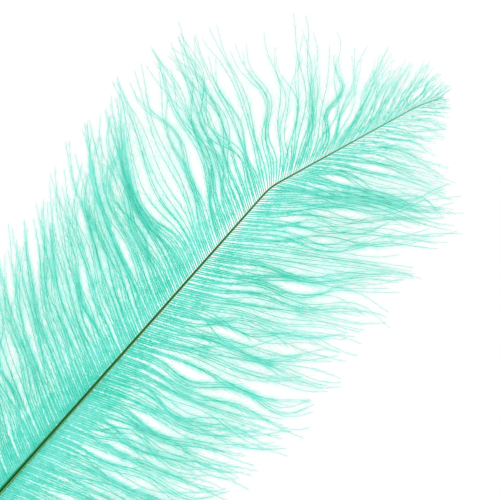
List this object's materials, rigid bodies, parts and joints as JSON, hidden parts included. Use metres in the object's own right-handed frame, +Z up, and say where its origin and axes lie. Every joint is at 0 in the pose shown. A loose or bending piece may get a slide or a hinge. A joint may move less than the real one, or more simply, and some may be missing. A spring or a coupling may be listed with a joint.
{
  "type": "ostrich plume",
  "caption": "Dyed ostrich plume with a flexible tapering shaft, wide drooping barbs on both sides and a bare hollow quill to hold it by.",
  "frame": {"origin": "on the quill's axis, half way up its straight grip", "axes": "+Z up the shaft from quill to tip, the vane in the XZ plane with its grooved face towards -Y, and the upper end leaning towards +X"},
  "size_m": [0.1882, 0.0318, 0.4728],
  "materials": {
    "quill_horn": "satin",
    "pulp_skin": "matte",
    "shaft_horn": "satin",
    "shaft_pith": "matte",
    "downy_barbs": "matte",
    "left_barbs": "satin",
    "right_barbs": "satin",
    "tip_barbs": "satin"
  },
  "bodies": {
    "quill": {"quill": "quill_horn", "pulp_caps": "pulp_skin", "base_horn": "shaft_horn", "base_pith": "shaft_pith", "base_left_barbs_1": "downy_barbs", "base_left_barbs_2": "downy_barbs", "base_right_barbs_1": "downy_barbs", "base_right_barbs_2": "downy_barbs"},
    "lower_shaft": {"lower_horn": "shaft_horn", "lower_pith": "shaft_pith", "lower_left_barbs_1": "left_barbs", "lower_left_barbs_2": "left_barbs", "lower_left_barbs_3": "left_barbs", "lower_right_barbs_1": "right_barbs", "lower_right_barbs_2": "right_barbs", "lower_right_barbs_3": "right_barbs"},
    "middle_shaft": {"middle_horn": "shaft_horn", "middle_pith": "shaft_pith", "middle_left_barbs_1": "left_barbs", "middle_left_barbs_2": "left_barbs", "middle_left_barbs_3": "left_barbs", "middle_right_barbs_1": "right_barbs", "middle_right_barbs_2": "right_barbs", "middle_right_barbs_3": "right_barbs"},
    "upper_shaft": {"upper_horn": "shaft_horn", "upper_pith": "shaft_pith", "upper_left_barbs_1": "left_barbs", "upper_left_barbs_2": "left_barbs", "upper_left_barbs_3": "left_barbs", "upper_right_barbs_1": "right_barbs", "upper_right_barbs_2": "right_barbs", "upper_right_barbs_3": "right_barbs"},
    "crook": {"crook_horn": "shaft_horn", "end_horn": "shaft_horn", "crook_left_barbs_1": "left_barbs", "crook_left_barbs_2": "left_barbs", "crook_left_barbs_3": "left_barbs", "crook_right_barbs_1": "right_barbs", "crook_right_barbs_2": "right_barbs", "crook_right_barbs_3": "right_barbs", "tip_tuft": "tip_barbs"}
  },
  "joints": [
    {"name": "base_bend", "type": "hinge", "parent": "quill", "child": "lower_shaft", "pos_m": [0, 0, 0.092], "axis": [1, 0, 0], "range_deg": [-8, 8], "stiffness_Nm_per_rad": 0.09},
    {"name": "lower_bend", "type": "hinge", "parent": "lower_shaft", "child": "middle_shaft", "pos_m": [0, 0, 0.184], "axis": [1, 0, 0], "range_deg": [-10, 10], "stiffness_Nm_per_rad": 0.03},
    {"name": "middle_bend", "type": "hinge", "parent": "middle_shaft", "child": "upper_shaft", "pos_m": [0, -0.00154, 0.27199], "axis": [1, 0, 0], "range_deg": [-12, 12], "stiffness_Nm_per_rad": 0.013},
    {"name": "crook_bend", "type": "hinge", "parent": "upper_shaft", "child": "crook", "pos_m": [0, -0.00567, 0.35088], "axis": [1, 0, 0], "range_deg": [-15, 15], "stiffness_Nm_per_rad": 0.004}
  ]
}
